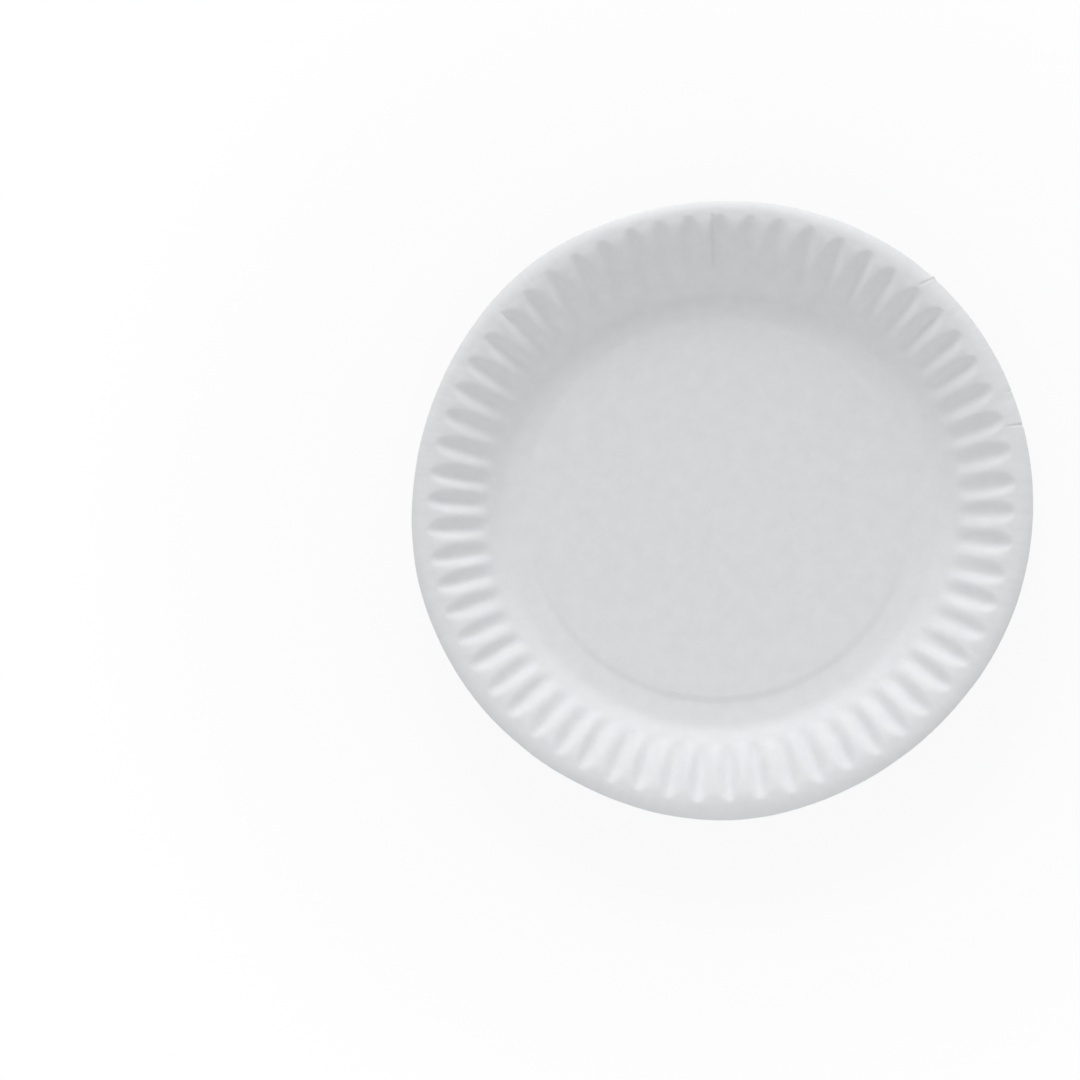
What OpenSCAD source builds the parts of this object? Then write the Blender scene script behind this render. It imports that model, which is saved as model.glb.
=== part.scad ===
// A round plate pressed from paper board. A flat well ends at a fine crease ring. Outside it
// the board rises gently to the foot of the wall, radial flutes run up the wall, and a plain
// brim turns down at the edge. The plate lies on its well, centred on the origin, +Z up.

/* [Plate] */

// Diameter over the outer edge of the brim
plate_d = 230; // [222:1:250]

// Height from the underside of the well to the crest of the rim
plate_h = 18; // [14:0.5:24]

// Thickness of the board
board_t = 0.4; // [0.3:0.05:0.8]

/* [Well] */

// Diameter of the crease ring that bounds the flat well
well_d = 146; // [110:1:154]

// Width of the crease ring
crease_w = 1; // [0.6:0.1:2]

// Depth of the crease, pressed into each face of the board
crease_depth = 0.1; // [0.04:0.01:0.12]

// Slope of the board just outside the crease, in degrees
crease_angle = 3; // [0:1:8]

/* [Wall] */

// Slope of the board where the foot of the wall begins, in degrees
toe_angle = 10; // [4:1:20]

// Width of the curved foot of the wall
foot_w = 3.8; // [2:0.1:6]

// Slope of the wall at the top of its foot, in degrees
wall_angle = 35; // [28:0.5:45]

// Width of the plain wall between its foot and the flutes
lead_w = 3; // [1:0.1:5]

/* [Flutes] */

// Number of flutes around the plate
flute_n = 60; // [40:1:64]

// Length of a flute, measured outwards from its inner end
flute_l = 20.4; // [16:0.1:23]

// Depth of a flute at its deepest, from ridge to valley
flute_depth = 1.7; // [0.6:0.1:2.4]

// Angle from +X to the first ridge, in degrees
first_ridge = 1.6; // [0:0.1:5.9]

/* [Rim] */

// Width of the smooth strip between the flutes and the crest of the rim
strip_w = 1.6; // [0.8:0.1:3]

// Width over which the wall bends level, up to the crest of the rim
bend_w = 5; // [3:0.1:7]

// Slope of the wall where that bend begins, in degrees
bend_angle = 23; // [12:1:30]

// Width of the brim, from the crest of the rim to the edge
brim_w = 4; // [3:0.1:6]

// Drop of the brim from the crest of the rim to the edge
brim_drop = 1; // [0.7:0.1:1.8]

// Slope of the brim at its edge, in degrees
brim_angle = 27; // [10:1:35]

/* [Hidden] */

$fn = 96;

// Radii of the lines that bound the well, the crease, the bend and the brim.
well_r = well_d / 2;
crease_mid_r = well_r + crease_w / 2;
crease_out_r = well_r + crease_w;
edge_r = plate_d / 2;
crest_r = edge_r - brim_w;
bend_r = crest_r - bend_w;
flute_end_r = crest_r - strip_w;

// The toe, the foot, the plain wall and the flutes share the room between the crease and the
// strip. The toe keeps at least a tenth of it, so a large well or a small plate shortens the rest.
toe_least = 0.1;
room = flute_end_r - crease_out_r;
fit = min(1, (1 - toe_least) * room / (foot_w + lead_w + flute_l));
flute_run = flute_l * fit;
flute_r = flute_end_r - flute_run;
foot_r = flute_r - lead_w * fit;
toe_r = foot_r - foot_w * fit;

// Heights of the upper face above the floor of the well, at those lines.
function ramp(width, angle_a, angle_b) = width * (tan(angle_a) + tan(angle_b)) / 2;
toe_rise = ramp(toe_r - well_r, crease_angle, toe_angle);
foot_rise = toe_rise + ramp(foot_w * fit, toe_angle, wall_angle);
crest_rise = plate_h - board_t;
bend_rise = crest_rise - ramp(bend_w, bend_angle, 0);
edge_rise = crest_rise - brim_drop;

// The wall's board reaches this far into the board of the well, thinner there by the depth
// of the crease on each face, so that the two are one sheet.
tongue_w = 2;

// Points around a ring: six to a flute where the flutes are deep, two to a flute elsewhere.
fine = flute_n * 6;
coarse = flute_n * 2;

// Places of the fine rings, as shares of a flute's length.
flute_shares = [0.14, 0.4, 0.75, 0.94];

// How fast a flute gains its depth at its inner end, and how bluntly it closes at its outer end.
fade_power = 5;
close_power = 9;

// Half the step over which the slope of the sheet is taken.
probe = 0.02;

// A curve from height a to height b over a span, with slope sa at its start and sb at its end.
function curve(t, span, a, b, sa, sb) =
    a * (1 + 2 * t) * (1 - t) * (1 - t)
    + b * t * t * (3 - 2 * t)
    + span * sa * t * (1 - t) * (1 - t)
    - span * sb * t * t * (1 - t);

function curve_at(r, r0, r1, a, b, angle_a, angle_b) =
    curve((r - r0) / (r1 - r0), r1 - r0, a, b, tan(angle_a), tan(angle_b));

// Height of the sheet's middle line above the floor of the well, at radius r.
function rise(r) =
    r < toe_r ? curve_at(r, well_r, toe_r, 0, toe_rise, crease_angle, toe_angle)
    : r < foot_r ? curve_at(r, toe_r, foot_r, toe_rise, foot_rise, toe_angle, wall_angle)
    : r < bend_r ? curve_at(r, foot_r, bend_r, foot_rise, bend_rise, wall_angle, bend_angle)
    : r < crest_r ? curve_at(r, bend_r, crest_r, bend_rise, crest_rise, bend_angle, 0)
    : curve_at(r, crest_r, edge_r, crest_rise, edge_rise, 0, -brim_angle);

function slope(r) = (rise(r + probe) - rise(r - probe)) / (2 * probe);

// How far along a flute radius r lies: 0 at its inner end, 1 at its outer end.
function along(r) = min(1, max(0, (r - flute_r) / flute_run));

// Share of the full depth there.
function depth_share(t) = (1 - pow(1 - t, fade_power)) * (1 - pow(t, close_power));

// 0 on a ridge and 1 in a valley. The valleys narrow towards the rim.
function valley(angle, t) = pow((1 - cos(flute_n * (angle - first_ridge))) / 2, 1 + t);

// The ridges stand half the depth above the middle line and run out level with the crest.
function ridge_share(t) = (1 - t * t * t) / 2;

function flute(r, angle) =
    flute_depth * depth_share(along(r)) * (ridge_share(along(r)) - valley(angle, along(r)));

// Upper and under faces of the sheet. The crease is pressed into both.
function upper(r, angle) =
    r < crease_out_r ? board_t - crease_depth : board_t + rise(r) + flute(r, angle);
function under(r, angle) =
    r < crease_out_r ? crease_depth : upper(r, angle) - board_t * sqrt(1 + pow(slope(r), 2));

function midway(a, b) = (a + b) / 2;

// Rings of points from the well outwards, each with its radius and its number of points.
out_rings = [
    for (r = [
        well_r - tongue_w,
        crease_mid_r,
        crease_out_r,
        toe_r,
        midway(toe_r, foot_r),
        foot_r,
        flute_r
    ]) [r, coarse],
    for (share = flute_shares) [flute_r + flute_run * share, fine],
    for (r = [flute_end_r, crest_r, midway(crest_r, edge_r), edge_r]) [r, coarse]
];
ring_n = len(out_rings);

// The rings run out over the upper face and back in under it.
rings = [
    for (i = [0 : 2 * ring_n - 1])
        i < ring_n ? out_rings[i] : out_rings[2 * ring_n - 1 - i]
];

function ring_start(i) = i == 0 ? 0 : ring_start(i - 1) + rings[i - 1][1];

function ring_points(i) = [
    for (j = [0 : rings[i][1] - 1])
        let (
            r = rings[i][0],
            angle = first_ridge + 360 * j / rings[i][1],
            z = i < ring_n ? upper(r, angle) : under(r, angle)
        )
        [r * cos(angle), r * sin(angle), z]
];

// Triangles between a ring of few points and one of a whole multiple of that number.
function strip(few0, few, many0, many) =
    let (
        k = many / few,
        half = ceil(k / 2)
    )
    [
        for (i = [0 : few - 1])
            for (j = [0 : k])
                let (
                    a = few0 + i,
                    b = few0 + (i + 1) % few,
                    p = many0 + (k * i + j) % many,
                    q = many0 + (k * i + j + 1) % many
                )
                j < k ? [j < half ? a : b, q, p] : [a, b, many0 + (k * i + half) % many]
    ];

function reversed(faces) = [for (f = faces) [f[2], f[1], f[0]]];

function ring_faces(i) =
    let (
        next = (i + 1) % (2 * ring_n),
        a = rings[i][1],
        b = rings[next][1]
    )
    b >= a
        ? strip(ring_start(i), a, ring_start(next), b)
        : reversed(strip(ring_start(next), b, ring_start(i), a));

// The flat floor, on whose underside the plate rests.
module well() {
    cylinder(r = well_r, h = board_t);
}

// The wall, the flutes and the brim, as one sheet around the well.
module wall_and_rim() {
    polyhedron(
        points = [for (i = [0 : 2 * ring_n - 1]) each ring_points(i)],
        faces = [for (i = [0 : 2 * ring_n - 1]) each ring_faces(i)],
        convexity = 6
    );
}

module plate() {
    color([0.93, 0.94, 0.95])
        union() {
            well();
            wall_and_rim();
        }
}

plate();
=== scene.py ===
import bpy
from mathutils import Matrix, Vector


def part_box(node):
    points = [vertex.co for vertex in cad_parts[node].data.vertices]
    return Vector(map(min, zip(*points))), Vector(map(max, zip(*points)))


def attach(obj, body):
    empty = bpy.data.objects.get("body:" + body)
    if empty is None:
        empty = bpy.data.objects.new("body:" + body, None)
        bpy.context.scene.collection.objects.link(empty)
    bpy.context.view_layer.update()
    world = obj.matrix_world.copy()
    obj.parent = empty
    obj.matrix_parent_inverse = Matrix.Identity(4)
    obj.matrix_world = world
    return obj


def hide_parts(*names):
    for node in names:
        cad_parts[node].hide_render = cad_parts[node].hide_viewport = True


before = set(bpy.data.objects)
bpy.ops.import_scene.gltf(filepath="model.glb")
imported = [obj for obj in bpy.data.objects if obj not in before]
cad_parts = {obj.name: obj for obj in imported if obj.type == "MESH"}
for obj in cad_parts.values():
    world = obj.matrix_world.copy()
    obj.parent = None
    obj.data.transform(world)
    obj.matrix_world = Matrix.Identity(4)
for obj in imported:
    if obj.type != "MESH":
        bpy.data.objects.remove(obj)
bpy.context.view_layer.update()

import math

import bpy
from mathutils import Matrix, Vector, noise

MM = 0.001

# The plate's main sizes. Its edge and height come from the frame, and the rest follow its construction.
plate_low, plate_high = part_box("plate")
EDGE_R = (plate_high.x - plate_low.x) / 2
HEIGHT = plate_high.z
BOARD = 0.4 * MM
WELL_R = 73 * MM
TOE_W = 8.7 * MM
FOOT_W = 3.8 * MM
FLUTE_L = 20.4 * MM
PLAIN_W = 1.6 * MM
BEND_W = 5 * MM
BRIM_W = 4 * MM
BRIM_DROP = 1 * MM
TOE_R = WELL_R + TOE_W
FOOT_R = TOE_R + FOOT_W
CREST_R = EDGE_R - BRIM_W
BEND_R = CREST_R - BEND_W
FLUTE_R = CREST_R - PLAIN_W - FLUTE_L

# Slopes of the sheet. The crease's sets how high the toe rises, and the toe itself sets off steeper.
CREASE_SLOPE = math.tan(math.radians(3.6))
TOE_START_SLOPE = math.tan(math.radians(6))
# Slopes at the end of the toe, where the wall and the bend begin, and at the edge.
TOE_SLOPE = math.tan(math.radians(10.6))
WALL_SLOPE = math.tan(math.radians(35))
BEND_SLOPE = math.tan(math.radians(23))
BRIM_SLOPE = -math.tan(math.radians(27))

# Heights of the upper face above the floor of the well.
TOE_RISE = TOE_W * (CREASE_SLOPE + TOE_SLOPE) / 2
FOOT_RISE = TOE_RISE + FOOT_W * (TOE_SLOPE + WALL_SLOPE) / 2
CREST_RISE = HEIGHT - BOARD
BEND_RISE = CREST_RISE - BEND_W * BEND_SLOPE / 2
EDGE_RISE = CREST_RISE - BRIM_DROP

# The well is dished by a hair and ends in a soft step down, the crease, from which the toe rises.
# Both are a little deeper on the side of the plate that is nearest in the picture.
DISH = 0.32 * MM
DISH_SWING = 0.18 * MM
DISH_POWER = 4
STEP_DOWN = 0.24 * MM
STEP_SWING = 0.12 * MM
CREASE_IN_R = WELL_R - 2.1 * MM
TOE_START_R = WELL_R + 1.2 * MM

# The wall reaches further in on two sides of the plate: towards which angle, by how many millimetres,
# how narrowly, and how far up the wall it does so most.
WALL_SHIFTS = [
    {"angle": 175.0, "by": 2.6, "power": 4, "late": 1},
    {"angle": 90.0, "by": 1.1, "power": 3, "late": 1.5},
]

# The flutes: their number and depth, and how far along each one it fades in, narrows and closes.
FLUTE_N = 60
FLUTE_DEPTH = 1.9 * MM
FADE_END = 0.82
FADE_POWER = 4.8
NARROW_START = 0.55
NARROW_POWER = 1.3
NARROW_BLUNTNESS = 0.38
CLOSE_START = 0.70
CLOSE_END = 1.01
CLOSE_SWING = 0.02
CLOSE_SOFTNESS = 1.1

# The valleys are pressed deeper on two sides of the plate: towards which angle, by which share of
# their depth, and how narrowly.
DEEPER = [
    {"angle": 55.0, "by": 0.22, "power": 6},
    {"angle": -85.0, "by": 0.40, "power": 6},
]

# How much of the depth the ridges stand above the middle line, and how late they run out level.
RIDGE_SHARE = 0.7
RIDGE_POWER = 1.5

# The ridges drift a little round the plate, as on a pressed board: mean and swing, in degrees.
RIDGE_MEAN = 1.55
RIDGE_SWING = 1.0
RIDGE_SWING_AT = 160.0

# No flute is quite like its neighbour. The shares of a flute's width, depth and length by which it
# differs at most, each with the place in the noise from which it is taken.
PLACE_WOBBLE = (0.10, 0.0)
DEPTH_WOBBLE = (0.22, 2.0)
CLOSE_WOBBLE = (0.03, 5.0)
NOISE_START = 0.37
NOISE_STEP = 7.31
NOISE_LEVEL = 4.7

# The rim of a light sheet lifts and dips in two waves round the plate, each with its share of the
# height, its number of crests and its turn in radians. They grow from the well to the edge.
WARP = 0.22 * MM
WARP_WAVES = [(1, 2, 0.7), (0.5, 3, -1.1)]
WARP_POWER = 1.5

# How much lower the edge lies at the top of the plate, and how much higher at the bottom.
BRIM_SWING = 0.36 * MM

# Fine pleats that cross the brim: angle and slant in degrees, the radius where they start, half width,
# depth, how far one lip stands above the other, and how far the edge sticks out there, in millimetres.
PLEATS = [
    {"angle": 46.3, "slant": -1.3, "start": 108.4, "half": 0.9, "depth": 0.20, "step": 0.46, "out": 0.5},
    {"angle": 14.1, "slant": -0.3, "start": 108.4, "half": 0.7, "depth": 0.22, "step": 0.16, "out": -0.2},
    {"angle": 29.6, "slant": 0.3, "start": 112.4, "half": 0.35, "depth": 0.07, "step": 0.03, "out": -0.1},
    {"angle": 20.3, "slant": 0.2, "start": 113.2, "half": 0.3, "depth": 0.05, "step": 0.03, "out": -0.2},
]
# How fast a pleat's groove gains its depth outwards, over how many half widths it draws the edge in or
# out, and within how many degrees the points round it follow its slant.
GROOVE_GAIN = 2.5
NOTCH_HALVES = 1.5
SLANT_REACH = 2.5
# The lip dies down over this width beside the pleat, is followed for so many widths, and stands at
# this share of its height in the middle of the groove.
LIP_W = 2 * MM
LIP_REACH = 3
LIP_MIDDLE = 0.5

# The cut edge is not quite concentric with the pressed form. Where the brim is wider or narrower:
# angle and half width of the stretch in degrees, and by how much in millimetres.
BULGES = [
    {"angle": -86.0, "half": 32, "out": 1.5},
    {"angle": -42.0, "half": 20, "out": -0.3},
    {"angle": 50.0, "half": 40, "out": 0.6},
    {"angle": 127.0, "half": 24, "out": 1.1},
    {"angle": 168.0, "half": 30, "out": -0.85},
]

# The cut edge also wanders slowly and quickly: how far in millimetres, how fast, and its own level in
# the noise.
EDGE_WANDERS = [
    {"by": 0.12, "speed": 9, "level": 1.3},
    {"by": 0.08, "speed": 70, "level": 2.9},
]

# Sharp folds in the bottom of single flutes: angle in degrees, then the radii where they start and
# end, half width and depth in millimetres.
FOLDS = [
    {"angle": 90.2, "start": 92, "end": 109.5, "half": 1.2, "depth": 1.1},
    {"angle": 88.2, "start": 77, "end": 86, "half": 0.7, "depth": 0.12},
    {"angle": 137.8, "start": 103, "end": 109.6, "half": 1.0, "depth": 0.5},
    {"angle": 40.2, "start": 96, "end": 108, "half": 0.6, "depth": 0.2},
    {"angle": -85.0, "start": 90, "end": 107, "half": 0.6, "depth": 0.2},
]
FOLD_BLUNTNESS = 0.5

# Points round the plate: twelve to a flute, and fewer on the flat well. Each pleat and fold has more of
# them, at these multiples of its half width, but none closer to another than the least gap, in degrees.
STEPS = FLUTE_N * 12
WELL_STEPS = 180
BESIDE = (-2, -1.4, -1, -0.7, -0.35, 0, 0.35, 0.7, 1, 1.4, 2)
LEAST_GAP = 0.02

# Rings of points in each part of the plate, from the well's first ring outwards.
FIRST_RING_R = 8 * MM
WELL_RINGS = 10
CREASE_RINGS = 7
TOE_RINGS = 5
FOOT_RINGS = 7
FLUTE_RINGS = 17
BEND_RINGS = 11
BRIM_RINGS = 8

# Half the step over which the direction of a face is taken, and the angle past which an edge is sharp.
PROBE = 0.05 * MM
SHARP_ANGLE = math.radians(50)


def curve(r, r0, r1, a, b, slope_a, slope_b):
    """A smooth rise from height a at r0 to height b at r1, with the slopes given at its ends."""
    t = (r - r0) / (r1 - r0)
    u = 1 - t
    span = r1 - r0
    return (
        a * (1 + 2 * t) * u * u
        + b * t * t * (3 - 2 * t)
        + span * slope_a * t * u * u
        - span * slope_b * t * t * u
    )


def clamp(value):
    """The value, kept between 0 and 1."""
    return min(1, max(0, value))


def smooth(r, r0, r1):
    """A smooth step from 0 at r0 to 1 at r1."""
    t = clamp((r - r0) / (r1 - r0))
    return t * t * (3 - 2 * t)


def brim_share(r):
    """How far across the brim radius r lies: 0 at the crest, 1 at the edge."""
    return max(0, (r - CREST_R) / BRIM_W)


def rise(r):
    """Height of the sheet's middle line above the floor of the well."""
    if r < TOE_START_R:
        return 0.0
    if r < TOE_R:
        return curve(r, TOE_START_R, TOE_R, 0, TOE_RISE, TOE_START_SLOPE, TOE_SLOPE)
    if r < FOOT_R:
        return curve(r, TOE_R, FOOT_R, TOE_RISE, FOOT_RISE, TOE_SLOPE, WALL_SLOPE)
    if r < BEND_R:
        return curve(r, FOOT_R, BEND_R, FOOT_RISE, BEND_RISE, WALL_SLOPE, BEND_SLOPE)
    if r < CREST_R:
        return curve(r, BEND_R, CREST_R, BEND_RISE, CREST_RISE, BEND_SLOPE, 0)
    return curve(r, CREST_R, EDGE_R, CREST_RISE, EDGE_RISE, 0, BRIM_SLOPE)


def dish(r, angle):
    """The slight dish of the well, its step down at the crease, and what is left of it on the wall."""
    near = -math.sin(math.radians(angle))
    lift = (DISH + DISH_SWING * near) * min(1, r / CREASE_IN_R) ** DISH_POWER
    lift -= (STEP_DOWN + STEP_SWING * near) * smooth(r, CREASE_IN_R, TOE_START_R)
    return lift * (1 - smooth(r, FLUTE_R, BEND_R))


def towards(angle, sides):
    """How much of the given sides' amounts an angle gets: all of one on its side, and none across."""
    total = 0.0
    for side in sides:
        near = max(0, math.cos(math.radians(angle - side["angle"])))
        total += side["by"] * near ** side["power"]
    return total


def shifted(r, angle):
    """The radius at which the plain wall has the height that this one has at r."""
    t = (r - WELL_R) / (CREST_R - WELL_R)
    if t <= 0 or t >= 1:
        return r
    by = 0.0
    for shift in WALL_SHIFTS:
        peak = shift["late"] / (shift["late"] + 1)
        share = (t / peak) ** shift["late"] * (1 - t) / (1 - peak)
        by += towards(angle, [shift]) * MM * share
    return r + by


def wobble(seed, amount, place):
    """A steady value between -amount and amount for a numbered flute."""
    return amount * noise.noise(Vector((seed * NOISE_STEP + NOISE_START, place, NOISE_LEVEL)))


def flute(r, angle):
    """Height of the flutes above or below the sheet's middle line."""
    t = (r - FLUTE_R) / FLUTE_L
    if t <= 0 or r >= CREST_R:
        return 0.0

    # Which flute this is, and how far across it the place lies: 0 in its valley, half a flute on a ridge.
    drift = RIDGE_MEAN + RIDGE_SWING * math.cos(math.radians(angle - RIDGE_SWING_AT))
    phase = (angle - drift) * FLUTE_N / 360
    valley = math.floor(phase)
    seed = valley % FLUTE_N
    u = phase - valley - 0.5
    u += wobble(seed, *PLACE_WOBBLE) * (1 - 4 * u * u)

    # The ridge, and the half width of the valley. Past that half width there is only the ridge.
    depth = FLUTE_DEPTH * (1 - (1 - min(1, t / FADE_END)) ** FADE_POWER)
    ridge = depth * RIDGE_SHARE * max(0, 1 - t ** RIDGE_POWER)
    close_end = CLOSE_END - CLOSE_SWING * math.cos(math.radians(2 * angle))
    close_end += wobble(seed, *CLOSE_WOBBLE)
    narrow = clamp((t - NARROW_START) / (close_end - NARROW_START))
    half = 0.5 * (1 - narrow ** NARROW_POWER) ** NARROW_BLUNTNESS
    if half <= abs(u):
        return ridge

    # The valley, which closes at its outer end.
    close = clamp((t - CLOSE_START) / (close_end - CLOSE_START))
    own_depth = depth * (1 + wobble(seed, *DEPTH_WOBBLE) + towards(angle, DEEPER))
    scoop = (1 + math.cos(math.pi * u / half)) / 2
    return ridge - own_depth * scoop * (1 - close * close) ** CLOSE_SOFTNESS


def warp(r, angle):
    """The slight lift and dip of a light sheet's rim, and the uneven turn-down of its brim."""
    share = max(0, (r - WELL_R) / (EDGE_R - WELL_R)) ** WARP_POWER
    a = math.radians(angle)
    waves = sum(part * math.cos(crests * a + turn) for part, crests, turn in WARP_WAVES)
    return share * WARP * waves - BRIM_SWING * math.sin(a) * brim_share(r) ** 2


def edge_reach(angle):
    """How far the cut edge strays from a true circle."""
    a = math.radians(angle)
    reach = 0.0
    for wander in EDGE_WANDERS:
        place = Vector((math.cos(a) * wander["speed"], math.sin(a) * wander["speed"], wander["level"]))
        reach += wander["by"] * MM * noise.noise(place)
    for bulge in BULGES:
        away = abs((angle - bulge["angle"] + 180) % 360 - 180) / bulge["half"]
        if away < 1:
            reach += bulge["out"] * MM * math.cos(math.pi / 2 * away) ** 2
    return reach


def pleat_share(pleat, r):
    """How far along the pleat radius r lies: 0 at its start, 1 at the edge of the plate."""
    start = pleat["start"] * MM
    return clamp((r - start) / (EDGE_R - start))


def pleat_angle(pleat, r):
    """The pleat's own angle at radius r, slanted across the brim."""
    return pleat["angle"] + pleat["slant"] * (pleat_share(pleat, r) - 0.5)


def pleat_height(r, angle):
    """The fine grooves of the pleats, each with one lip a little proud of the other."""
    total = 0.0
    for pleat in PLEATS:
        share = pleat_share(pleat, r)
        across = math.radians(angle - pleat_angle(pleat, r)) * r
        if share == 0 or abs(across) > LIP_REACH * LIP_W:
            continue
        half = pleat["half"] * MM
        groove = max(0, 1 - abs(across) / half)
        total -= pleat["depth"] * MM * groove * min(1, share * GROOVE_GAIN)
        lip = math.exp(-abs(across) / LIP_W) * min(1, LIP_MIDDLE + across / half)
        total += pleat["step"] * MM * share * max(0, lip)
    return total


def pleat_reach(angle):
    """How far the cut edge sticks out, or is drawn in, at a pleat."""
    total = 0.0
    for pleat in PLEATS:
        across = abs(math.radians(angle - pleat_angle(pleat, EDGE_R)) * EDGE_R)
        total += pleat["out"] * MM * max(0, 1 - across / (NOTCH_HALVES * pleat["half"] * MM))
    return total


def fold_height(r, angle):
    """The sharp folds that lie in a few of the flutes."""
    total = 0.0
    for fold in FOLDS:
        across = abs(math.radians(angle - fold["angle"]) * r) / (fold["half"] * MM)
        t = (r / MM - fold["start"]) / (fold["end"] - fold["start"])
        if across < 1 and 0 < t < 1:
            total -= fold["depth"] * MM * (1 - across) * math.sin(math.pi * t) ** FOLD_BLUNTNESS
    return total


def height(r, angle):
    """Height of the upper face of the plate, without the pleats of the brim."""
    reach = shifted(r, angle)
    formed = rise(reach) + flute(reach, angle) + dish(r, angle)
    return BOARD + formed + warp(r, angle) + fold_height(r, angle)


def face_normal(r, angle):
    """The upper face's own direction at a place, in radial, tangential and upward parts."""
    turn = math.degrees(PROBE / max(r, PROBE))
    radial = (height(r + PROBE, angle) - height(r - PROBE, angle)) / (2 * PROBE)
    around = (height(r, angle + turn) - height(r, angle - turn)) / (2 * PROBE)
    return Vector((-radial, -around, 1)).normalized()


def spread(start, end, count):
    """Values evenly spaced from start up to, but not at, end."""
    return [start + (end - start) * i / count for i in range(count)]


def ring_radii():
    """Radii of the rings of points, close together where the sheet bends most."""
    inner = spread(FIRST_RING_R, CREASE_IN_R, WELL_RINGS)
    crease = spread(CREASE_IN_R, TOE_START_R, CREASE_RINGS)
    toe = spread(TOE_START_R, TOE_R, TOE_RINGS)
    foot = spread(TOE_R, FLUTE_R, FOOT_RINGS)
    flutes = spread(FLUTE_R, BEND_R, FLUTE_RINGS)
    bend = spread(BEND_R, CREST_R, BEND_RINGS)
    brim = spread(CREST_R, EDGE_R, BRIM_RINGS) + [EDGE_R]
    return inner, crease + toe + foot + flutes + bend + brim


def columns_beside(angle, half):
    """Angles of the extra columns of points on and beside a groove."""
    return [(angle + math.degrees(share * half * MM / EDGE_R)) % 360 for share in BESIDE]


def ring_angles():
    """Angles of the points on a ring, with extra ones beside each pleat and fold."""
    angles = [360 * i / STEPS for i in range(STEPS)]
    for groove in PLEATS + FOLDS:
        angles += columns_beside(groove["angle"], groove["half"])
    angles.sort()
    kept = [angles[0]]
    for angle in angles[1:]:
        if angle - kept[-1] > LEAST_GAP:
            kept.append(angle)
    return kept


def slanted(angle, r):
    """Moves a column of points so that it follows a slanted pleat across the brim."""
    moved = angle
    for pleat in PLEATS:
        near = 1 - (abs(angle - pleat["angle"]) / SLANT_REACH) ** 2
        if near > 0:
            moved += (pleat_angle(pleat, r) - pleat["angle"]) * near
    return moved


def ring_points(r, angles, under):
    """The points of one ring, on the upper or the under face."""
    points = []
    for angle in angles:
        a = slanted(angle, r)
        reach = r + brim_share(r) * (edge_reach(a) + pleat_reach(a))
        shift = 0.0
        z = height(r, a)
        if under:
            normal = face_normal(r, a)
            reach -= normal.x * BOARD
            shift -= normal.y * BOARD
            z -= normal.z * BOARD
        else:
            z += pleat_height(r, a)
        radial = Vector((math.cos(math.radians(a)), math.sin(math.radians(a)), 0))
        around = Vector((-radial.y, radial.x, 0))
        points.append(radial * reach + around * shift + Vector((0, 0, z)))
    return points


def join_rings(faces, first_a, first_b, count):
    """Quads between two rings of one count."""
    for i in range(count):
        j = (i + 1) % count
        faces.append((first_a + i, first_b + i, first_b + j, first_a + j))


def join_uneven(faces, first_a, angles_a, first_b, angles_b):
    """Triangles between an inner ring of few points and an outer ring of many."""
    i = 0
    many = len(angles_b)
    few = len(angles_a)
    for j in range(many):
        after = angles_b[(j + 1) % many] + (360 if j + 1 == many else 0)
        while i < few and after > angles_a[i] + 180 / few:
            faces.append((first_a + i % few, first_b + j, first_a + (i + 1) % few))
            i += 1
        faces.append((first_a + i % few, first_b + j, first_b + (j + 1) % many))


def sheet_face(under):
    """Points and faces of the upper or the under face, from the middle to the edge."""
    inner, outer = ring_radii()
    few = spread(0, 360, WELL_STEPS)
    many = ring_angles()
    points = [Vector((0, 0, 0 if under else BOARD))]
    faces = []
    first = 1
    for n, r in enumerate(inner):
        points += ring_points(r, few, under)
        if n == 0:
            faces += [(0, 1 + i, 1 + (i + 1) % WELL_STEPS) for i in range(WELL_STEPS)]
        else:
            join_rings(faces, first - WELL_STEPS, first, WELL_STEPS)
        first += WELL_STEPS
    for n, r in enumerate(outer):
        points += ring_points(r, many, under)
        if n == 0:
            join_uneven(faces, first - WELL_STEPS, few, first, many)
        else:
            join_rings(faces, first - len(many), first, len(many))
        first += len(many)
    return points, faces


def plate_mesh():
    """The whole sheet: upper face, under face and cut edge, as one closed mesh."""
    top_points, top_faces = sheet_face(False)
    low_points, low_faces = sheet_face(True)
    offset = len(top_points)
    rim = len(ring_angles())
    points = top_points + low_points
    faces = list(top_faces)
    faces += [tuple(offset + i for i in reversed(face)) for face in low_faces]
    top = offset - rim
    low = offset + len(low_points) - rim
    for i in range(rim):
        j = (i + 1) % rim
        faces.append((top + i, low + i, low + j, top + j))
    mesh = bpy.data.meshes.new("fluted_plate")
    mesh.from_pydata(points, [], faces)
    mesh.validate()
    mesh.shade_smooth()
    mesh.set_sharp_from_angle(angle=SHARP_ANGLE)
    return mesh


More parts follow.
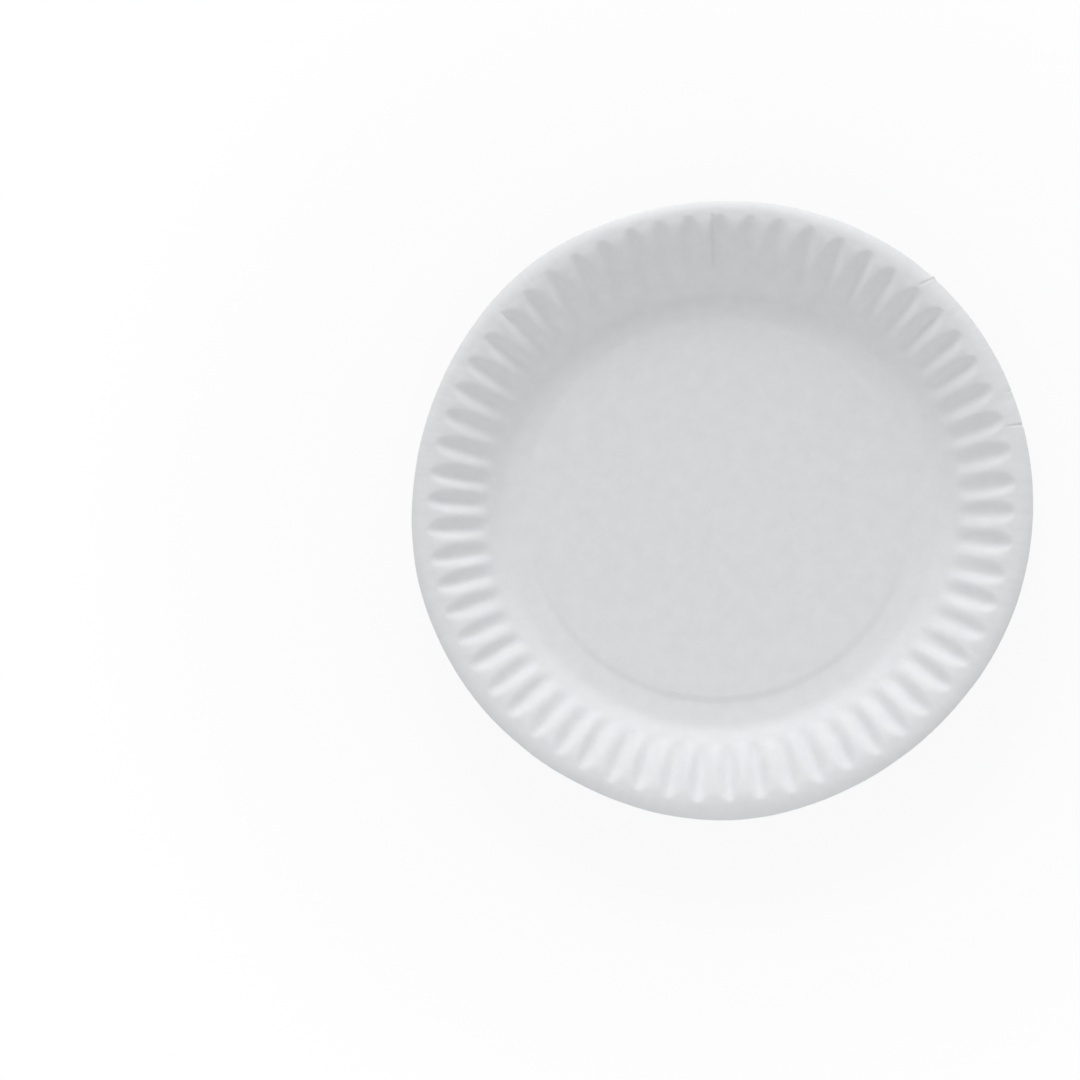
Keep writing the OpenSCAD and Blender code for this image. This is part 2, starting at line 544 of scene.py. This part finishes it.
class Nodes:
    """Short calls that add and join the nodes of one material."""

    def __init__(self, tree):
        self.tree = tree
        tree.nodes.clear()

    def add(self, kind, **settings):
        node = self.tree.nodes.new(kind)
        for name, value in settings.items():
            setattr(node, name, value)
        return node

    def link(self, source, target):
        self.tree.links.new(source, target)

    def math(self, operation, a, b):
        node = self.add("ShaderNodeMath", operation=operation)
        for socket, value in zip(node.inputs, (a, b)):
            if isinstance(value, (int, float)):
                socket.default_value = value
            else:
                self.link(value, socket)
        return node.outputs[0]

    def vector(self, operation, *sources):
        node = self.add("ShaderNodeVectorMath", operation=operation)
        for socket, source in zip(node.inputs, sources):
            self.link(source, socket)
        return node

    def length(self, source):
        return self.vector("LENGTH", source).outputs["Value"]

    def noise(self, vector, scale, detail, roughness):
        node = self.add("ShaderNodeTexNoise")
        self.link(vector, node.inputs["Vector"])
        node.inputs["Scale"].default_value = scale
        node.inputs["Detail"].default_value = detail
        node.inputs["Roughness"].default_value = roughness
        return node.outputs["Fac"]

    def remap(self, value, low_in, high_in, low_out, high_out):
        node = self.add("ShaderNodeMapRange", clamp=True)
        self.link(value, node.inputs["Value"])
        node.inputs["From Min"].default_value = low_in
        node.inputs["From Max"].default_value = high_in
        node.inputs["To Min"].default_value = low_out
        node.inputs["To Max"].default_value = high_out
        return node.outputs["Result"]

    def bump(self, height_socket, strength, distance, before=None):
        node = self.add("ShaderNodeBump")
        node.inputs["Strength"].default_value = strength
        node.inputs["Distance"].default_value = distance
        self.link(height_socket, node.inputs["Height"])
        if before is not None:
            self.link(before, node.inputs["Normal"])
        return node.outputs["Normal"]


# The board's two tones, and the range of the noise over which it goes from one to the other.
PAPER_DARK = (0.790, 0.800, 0.818, 1)
PAPER_LIGHT = (0.835, 0.845, 0.862, 1)
TONE_RANGE = (0.34, 0.66)
CLOUD_SHARE = 0.62

# Noises of the board: scale, detail and roughness.
CLOUD = (160, 4, 0.6)
FIBRE_TONE = (1500, 3, 0.7)
FELT = (520, 3, 0.55)
FIBRES = (2600, 4, 0.7)
WRINKLE = (1.6, 1, 0.5)

# How quickly the wrinkles change round the plate and outwards, and where on the wall they are in full.
WRINKLES_AROUND = 16
WRINKLES_OUTWARD = 45
WRINKLE_R = FLUTE_R + 6 * MM

# Relief of the felt's marks, the fibres and the wrinkles: strength, and height.
FELT_RELIEF = (0.35, 0.05 * MM)
FIBRE_RELIEF = (0.35, 0.02 * MM)
WRINKLE_RELIEF = (0.6, 0.42 * MM)

# How matt the board is, from low to high over the range of its fibres, and how much it shines.
FIBRE_RANGE = (0.3, 0.7)
ROUGHNESS = (0.82, 0.95)
SPECULAR = 0.3


def board_tone(n, place):
    """The cloudy formation of the sheet, with the finer tone of its fibres."""
    cloud = n.math("MULTIPLY", n.noise(place, *CLOUD), CLOUD_SHARE)
    fibre = n.math("MULTIPLY", n.noise(place, *FIBRE_TONE), 1 - CLOUD_SHARE)
    mix = n.add("ShaderNodeMix", data_type="RGBA")
    n.link(n.remap(n.math("ADD", cloud, fibre), *TONE_RANGE, 0, 1), mix.inputs["Factor"])
    mix.inputs["A"].default_value = PAPER_DARK
    mix.inputs["B"].default_value = PAPER_LIGHT
    return mix.outputs["Result"]


def wrinkles(n, place):
    """Wrinkles that run up the wall: a noise that changes quickly round the plate, slowly outwards."""
    flat = n.vector("MULTIPLY", place)
    flat.inputs[1].default_value = (1, 1, 0)
    flat = flat.outputs["Vector"]
    radius = n.length(flat)
    around = n.vector("SCALE", n.vector("NORMALIZE", flat).outputs["Vector"])
    around.inputs["Scale"].default_value = WRINKLES_AROUND
    outward = n.add("ShaderNodeCombineXYZ")
    n.link(n.math("MULTIPLY", radius, WRINKLES_OUTWARD), outward.inputs["Z"])
    polar = n.vector("ADD", around.outputs["Vector"], outward.outputs["Vector"])
    wrinkle = n.noise(polar.outputs["Vector"], *WRINKLE)
    on_wall = n.remap(radius, TOE_R, WRINKLE_R, 0, 1)
    return n.math("MULTIPLY", n.math("SUBTRACT", wrinkle, 0.5), on_wall)


def paper_board():
    """Uncoated white board: faint mottling, felt marks, fibres, and fine wrinkles up the wall."""
    material = bpy.data.materials.new("paper_board_white")
    material.use_nodes = True
    n = Nodes(material.node_tree)
    place = n.add("ShaderNodeTexCoord").outputs["Object"]
    fibres = n.noise(place, *FIBRES)
    normal = n.bump(n.noise(place, *FELT), *FELT_RELIEF)
    normal = n.bump(fibres, *FIBRE_RELIEF, normal)
    normal = n.bump(wrinkles(n, place), *WRINKLE_RELIEF, normal)

    shader = n.add("ShaderNodeBsdfPrincipled")
    n.link(board_tone(n, place), shader.inputs["Base Color"])
    n.link(n.remap(fibres, *FIBRE_RANGE, *ROUGHNESS), shader.inputs["Roughness"])
    n.link(normal, shader.inputs["Normal"])
    shader.inputs["Specular IOR Level"].default_value = SPECULAR
    output = n.add("ShaderNodeOutputMaterial")
    n.link(shader.outputs["BSDF"], output.inputs["Surface"])
    return material


def add_plate():
    """The dressed sheet, in place of the plain one."""
    piece = bpy.data.objects.new("plate_sheet", plate_mesh())
    bpy.context.collection.objects.link(piece)
    piece.data.materials.append(paper_board())
    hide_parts("plate")
    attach(piece, "root")


# The floor's colour, its half width, and how far it lies below the plate's underside.
FLOOR_COLOUR = (0.86, 0.865, 0.875, 1)
WHITE = (1, 1, 1, 1)
FLOOR_HALF = 3.0
FLOOR_GAP = 0.05 * MM
# How white the floor looks round the plate, where it shows its rendered shadow and is painted a shade
# darker, and how far off it is all white.
FLOOR_WHITENESS = 0.90
SHADOW_R = 0.14
ALL_WHITE_R = 0.28
# Under the rim it shows more of its rendered shadow and is painted darker still, the most where the well
# stands on it.
CONTACT_WHITENESS = 0.50
CONTACT_R = 0.074
UNDER_RIM_R = 0.112


def seen_directly(n):
    """1 on rays from the camera, on reflections and through glass, and 0 on light that fills the scene."""
    path = n.add("ShaderNodeLightPath")
    seen = n.math("ADD", path.outputs["Is Camera Ray"], path.outputs["Is Glossy Ray"])
    seen = n.math("ADD", seen, path.outputs["Is Transmission Ray"])
    return n.math("MINIMUM", seen, 1)


def floor_white():
    """A pale matt floor that looks nearly white, keeps its rendered soft shadow, and is painted darker
    round and under the plate.
    """
    material = bpy.data.materials.new("floor_white")
    material.use_nodes = True
    n = Nodes(material.node_tree)
    matt = n.add("ShaderNodeBsdfDiffuse")
    matt.inputs["Color"].default_value = FLOOR_COLOUR
    glow = n.add("ShaderNodeEmission")
    glow.inputs["Color"].default_value = WHITE
    glow.inputs["Strength"].default_value = 1
    away = n.length(n.add("ShaderNodeTexCoord").outputs["Object"])
    # Painted shade: the floor gets less of the white glow near and under the plate, so it is darker there
    # even where no shadow falls. It also shows its rendered shadow there.
    round_plate_shade = n.remap(away, SHADOW_R, ALL_WHITE_R, FLOOR_WHITENESS, 1)
    under_rim_shade = n.remap(away, CONTACT_R, UNDER_RIM_R, CONTACT_WHITENESS, 1)
    whiteness = n.math("MULTIPLY", round_plate_shade, under_rim_shade)
    mix = n.add("ShaderNodeMixShader")
    n.link(n.math("MULTIPLY", seen_directly(n), whiteness), mix.inputs["Fac"])
    n.link(matt.outputs["BSDF"], mix.inputs[1])
    n.link(glow.outputs["Emission"], mix.inputs[2])
    output = n.add("ShaderNodeOutputMaterial")
    n.link(mix.outputs["Shader"], output.inputs["Surface"])
    return material


def add_floor():
    """The pale surface that the plate lies on."""
    mesh = bpy.data.meshes.new("floor")
    h = FLOOR_HALF
    z = -FLOOR_GAP
    mesh.from_pydata([(-h, -h, z), (h, -h, z), (h, h, z), (-h, h, z)], [], [(0, 1, 2, 3)])
    floor = bpy.data.objects.new("floor", mesh)
    bpy.context.collection.objects.link(floor)
    mesh.materials.append(floor_white())


# Plain light of the room, and the lamps: where each stands round and above the plate in degrees,
# how far off and how wide it is in metres, and its power.
WORLD_FILL = 0.53
LAMPS = [
    {"name": "key", "azimuth": 94, "elevation": 26.3, "far": 2.0, "size": 0.65, "power": 10.55},
    {"name": "key_left", "azimuth": 112, "elevation": 27, "far": 2.0, "size": 0.6, "power": 4.0},
    {"name": "back", "azimuth": 92, "elevation": 10, "far": 2.0, "size": 0.6, "power": 7.4},
    {"name": "right", "azimuth": 58, "elevation": 17, "far": 2.0, "size": 0.6, "power": 2.4},
    {"name": "fill", "azimuth": -90, "elevation": 30, "far": 2.0, "size": 1.0, "power": 2.4},
    {"name": "near", "azimuth": -90, "elevation": 35, "far": 0.9, "size": 0.5, "power": 0.72},
]


def add_lamp(name, azimuth, elevation, far, size, power):
    """A round soft lamp that shines on the plate from an azimuth, counted from +X, and an elevation."""
    lamp = bpy.data.lights.new(name, "AREA")
    lamp.shape = "DISK"
    lamp.size = size
    lamp.energy = power
    a = math.radians(azimuth)
    e = math.radians(elevation)
    place = far * Vector((math.cos(a) * math.cos(e), math.sin(a) * math.cos(e), math.sin(e)))
    light = bpy.data.objects.new(name, lamp)
    light.location = place
    light.rotation_euler = (-place).to_track_quat("-Z", "Y").to_euler()
    bpy.context.collection.objects.link(light)


def add_light():
    """A soft white room, low lamps beyond the top and right of the plate, and fills from below it."""
    world = bpy.data.worlds.new("room")
    bpy.context.scene.world = world
    world.use_nodes = True
    n = Nodes(world.node_tree)
    sky = n.add("ShaderNodeBackground")
    sky.inputs["Color"].default_value = WHITE
    n.link(n.remap(seen_directly(n), 0, 1, WORLD_FILL, 1), sky.inputs["Strength"])
    output = n.add("ShaderNodeOutputWorld")
    n.link(sky.outputs["Background"], output.inputs["Surface"])
    for lamp in LAMPS:
        add_lamp(**lamp)


# The photograph's view of the plate: how the plate leans from it, how far off it is, and how far the
# plate's middle lies to the right of and above the line of sight. The sensor and lens are in
# Blender's own millimetres.
LEAN_X = math.radians(-6.39)
LEAN_Y = math.radians(-10.63)
DISTANCE = 640.7 * MM
RIGHT_OF_SIGHT = 66.5 * MM
ABOVE_SIGHT = 12.2 * MM
SENSOR = 36.0
LENS = 56.2


def add_camera():
    """The camera at the photograph's angle, looking down on the plate."""
    data = bpy.data.cameras.new("camera")
    data.sensor_width = SENSOR
    data.lens = LENS
    turn = Matrix.Rotation(LEAN_Y, 3, "Y") @ Matrix.Rotation(LEAN_X, 3, "X")
    back = turn.transposed()
    place = back @ Vector((-RIGHT_OF_SIGHT, -ABOVE_SIGHT, DISTANCE)) + Vector((0, 0, BOARD))
    camera = bpy.data.objects.new("camera", data)
    camera.matrix_world = Matrix.Translation(place) @ back.to_4x4()
    bpy.context.collection.objects.link(camera)
    bpy.context.scene.camera = camera


add_camera()
add_plate()
add_floor()
add_light()
bpy.context.scene.view_settings.view_transform = "Standard"
